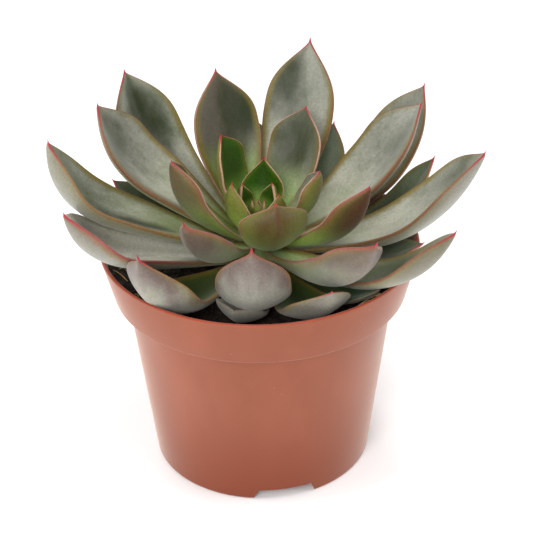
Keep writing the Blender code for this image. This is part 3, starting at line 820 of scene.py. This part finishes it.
def fibre_path(rng, start, length):
    """A gently curved, rising and falling line of points from a place on the peat."""
    heading = rng.uniform(0, 2 * pi)
    turn = rng.uniform(-0.5, 0.5)
    x, y, z = start
    points = []
    for i in range(FIBRE_POINTS):
        lift = 0.5 + 0.7 * sin(pi * i / (FIBRE_POINTS - 1))
        points.append(Vector((x, y, z + lift)))
        heading += turn / FIBRE_POINTS * 2
        x += cos(heading) * length / FIBRE_POINTS
        y += sin(heading) * length / FIBRE_POINTS
        if np.hypot(x, y) > 49.0:
            break
        z = soil_height(np.hypot(x, y)) - 0.5 * PEAT_RELIEF
    return points


def add_tube(bm, points, radius, sides=6):
    """A thin closed tube along points."""
    rings = []
    for i, point in enumerate(points):
        ahead = points[min(i + 1, len(points) - 1)] - points[max(i - 1, 0)]
        frame_turn = ahead.to_track_quat("Z", "X")
        width = radius * (1.0 - 0.5 * i / len(points))
        ring = []
        for k in range(sides):
            angle = 2 * pi * k / sides
            offset = Vector((width * cos(angle), 0.6 * width * sin(angle), 0.0))
            ring.append(bm.verts.new(point + frame_turn @ offset))
        rings.append(ring)
    for low, high in zip(rings, rings[1:]):
        for k in range(sides):
            j = (k + 1) % sides
            bm.faces.new((low[k], low[j], high[j], high[k]))
    bm.faces.new(rings[0][::-1])
    bm.faces.new(rings[-1])


def add_fibres(material):
    rng = np.random.default_rng(SEED + 1)
    bm = bmesh.new()
    made = 0
    while made < FIBRES:
        start = on_peat(rng, 36.0, 49.0)
        points = fibre_path(rng, start, rng.uniform(*FIBRE_LENGTH))
        if len(points) > 3:
            add_tube(bm, points, FIBRE_RADIUS)
            made += 1
    add_piece("straw_fibres", mesh_from(bm, "straw_fibres"), material, "peat")


def arc(centre, radius, start, end, steps):
    """Points on a round corner of a profile, from one angle to another."""
    angles = [radians(start + (end - start) * i / steps) for i in range(steps + 1)]
    return [(centre[0] + radius * cos(a), centre[1] + radius * sin(a)) for a in angles]


def body_radius(height):
    share = height / (POT_HEIGHT - BAND_HEIGHT)
    return BODY_FOOT_RADIUS + (BODY_TOP_RADIUS - BODY_FOOT_RADIUS) * share


def pot_profile():
    """The pot's section, up the inside and down the outside, as its solid has it but rounder."""
    band_foot = POT_HEIGHT - BAND_HEIGHT
    ledge = band_foot + WALL
    channel = CHANNEL_HEIGHT + WALL
    inside = [(0.0, WALL), (PAD_RADIUS, WALL), (PAD_RADIUS + PAD_SLOPE, channel)]
    inside += [(body_radius(channel) - WALL, channel), (BODY_TOP_RADIUS - WALL, ledge)]
    inside += [(BAND_FOOT_RADIUS - WALL, ledge)]
    lip = arc((RIM_RADIUS - WALL + LIP_ROUND, POT_HEIGHT - LIP_ROUND), LIP_ROUND, 180, 90, 6)
    lip += arc((RIM_RADIUS - LIP_ROUND, POT_HEIGHT - LIP_ROUND), LIP_ROUND, 75, 0, 6)
    band = arc((BAND_FOOT_RADIUS - BAND_ROUND, band_foot + BAND_ROUND), BAND_ROUND, 0, -90, 5)
    body = [(BODY_TOP_RADIUS, band_foot)]
    foot = arc((BODY_FOOT_RADIUS - FOOT_ROUND, FOOT_ROUND), FOOT_ROUND, 0, -90, 6)
    ring_inner = BODY_FOOT_RADIUS - FOOT_RING_WIDTH
    underside = [(ring_inner, 0.0), (ring_inner, CHANNEL_HEIGHT)]
    underside += [(PAD_RADIUS + PAD_SLOPE - WALL, CHANNEL_HEIGHT), (PAD_RADIUS - WALL, 0.0), (0.0, 0.0)]
    return inside + lip + band + body + foot + underside


def notch_cutter():
    """Three blocks with slanted ends, set around the foot ring."""
    bm = bmesh.new()
    for i in range(NOTCHES):
        block = bmesh.ops.create_cube(bm, size=1.0)["verts"]
        for vert in block:
            width = NOTCH_TOP_WIDTH if vert.co.z > 0 else NOTCH_WIDTH
            outward = vert.co.x > 0
            radius = BODY_FOOT_RADIUS + FOOT_RING_WIDTH * (1 if outward else -2)
            side = width * (1 if vert.co.y > 0 else -1) / 2
            vert.co = (radius, side, NOTCH_HEIGHT if vert.co.z > 0 else -NOTCH_HEIGHT)
        turn = Matrix.Rotation(radians(NOTCH_AZIMUTH + 360.0 * i / NOTCHES), 4, "Z")
        bmesh.ops.transform(bm, matrix=turn, verts=block)
    return mesh_from(bm, "notch_cutter")


def hole_cutter():
    """Round drainage holes through the raised channel."""
    bm = bmesh.new()
    for i in range(HOLES):
        turn = radians(NOTCH_AZIMUTH + 360.0 * i / HOLES)
        drill = bmesh.ops.create_cone(
            bm, cap_ends=True, segments=48, radius1=HOLE_RADIUS, radius2=HOLE_RADIUS, depth=3 * WALL
        )["verts"]
        centre = (HOLE_CIRCLE * cos(turn), HOLE_CIRCLE * sin(turn), CHANNEL_HEIGHT + WALL / 2)
        bmesh.ops.translate(bm, verts=drill, vec=centre)
    return mesh_from(bm, "hole_cutter")


def cut(mesh, cutters, name):
    """The mesh less its cutters, with smooth faces and sharp corners."""
    body = bpy.data.objects.new(name, mesh)
    bpy.context.scene.collection.objects.link(body)
    tools = []
    for cutter in cutters:
        tool = bpy.data.objects.new(cutter.name, cutter)
        bpy.context.scene.collection.objects.link(tool)
        boolean = body.modifiers.new(cutter.name, "BOOLEAN")
        boolean.operation = "DIFFERENCE"
        boolean.solver = "EXACT"
        boolean.object = tool
        tools.append(tool)
    bpy.context.view_layer.update()
    whole = bpy.data.meshes.new_from_object(body.evaluated_get(bpy.context.evaluated_depsgraph_get()))
    for obj in [body, *tools]:
        bpy.data.objects.remove(obj)
    whole.name = name
    whole.shade_smooth()
    whole.set_sharp_from_angle(angle=radians(30))
    return whole


def add_pot(material):
    mesh = mesh_from(turned(pot_profile(), POT_STEPS), "pot_blank")
    whole = cut(mesh, [notch_cutter(), hole_cutter()], "pot_shell")
    add_piece("pot_shell", whole, material, "terracotta_plastic", "pot")


def add_floor():
    bm = bmesh.new()
    bmesh.ops.create_grid(bm, x_segments=2, y_segments=2, size=4.0)
    mesh = bpy.data.meshes.new("floor")
    bm.to_mesh(mesh)
    bm.free()
    floor = bpy.data.objects.new("floor", mesh)
    bpy.context.scene.collection.objects.link(floor)
    mesh.materials.append(floor_material())


def add_light(name, place, size, power, target=(0.0, 0.0, 0.08)):
    data = bpy.data.lights.new(name, "AREA")
    data.size = size
    data.energy = power
    light = bpy.data.objects.new(name, data)
    bpy.context.scene.collection.objects.link(light)
    light.location = place
    light.rotation_euler = (Vector(target) - Vector(place)).to_track_quat("-Z", "Y").to_euler()


def light_studio():
    """A white tent all round, with soft boxes above, behind, in front and at both sides."""
    world = bpy.data.worlds.new("white_tent")
    world.use_nodes = True
    world.node_tree.nodes["Background"].inputs["Color"].default_value = (1.0, 1.0, 1.0, 1.0)
    world.node_tree.nodes["Background"].inputs["Strength"].default_value = 0.42
    bpy.context.scene.world = world
    add_light("back_box", (-0.5, 0.9, 1.1), 0.9, 7.5)
    add_light("top_box", (0.3, -0.2, 1.3), 0.8, 6.5)
    add_light("front_box", (-0.35, -1.2, 0.8), 0.7, 14.0)
    add_light("left_box", (-1.0, -0.1, 0.25), 0.7, 6.5)
    add_light("right_box", (1.0, -0.1, 0.25), 0.7, 5.5)
    add_light("low_box", (0.1, -1.3, 0.2), 0.8, 2.0)


def add_camera():
    data = bpy.data.cameras.new("camera")
    data.lens = CAMERA_LENS
    data.sensor_width = 36.0
    data.clip_start = 0.02
    data.clip_end = 20.0
    camera = bpy.data.objects.new("camera", data)
    bpy.context.scene.collection.objects.link(camera)
    elevation = radians(CAMERA_ELEVATION)
    back = Vector((0.0, -cos(elevation), sin(elevation)))
    camera.location = (Vector(CAMERA_TARGET) + back * CAMERA_DISTANCE) * MM
    turn = (-back).to_track_quat("-Z", "Y").to_matrix()
    camera.rotation_euler = (turn @ Matrix.Rotation(radians(CAMERA_ROLL), 3, "Z")).to_euler()
    bpy.context.scene.camera = camera


def main():
    bud_skin = leaf_material("bud_skin", 0.07, 0.0)
    peat = peat_material()
    add_leaves(bud_skin, leaf_material("leaf_skin", 0.22, 0.16))
    add_heart(bud_skin)
    add_stem(stem_material())
    add_peat(peat)
    add_crumbs(peat)
    add_fibres(straw_material())
    add_pot(plastic_material())
    add_floor()
    light_studio()
    add_camera()
    bpy.context.scene.view_settings.view_transform = "Standard"


main()
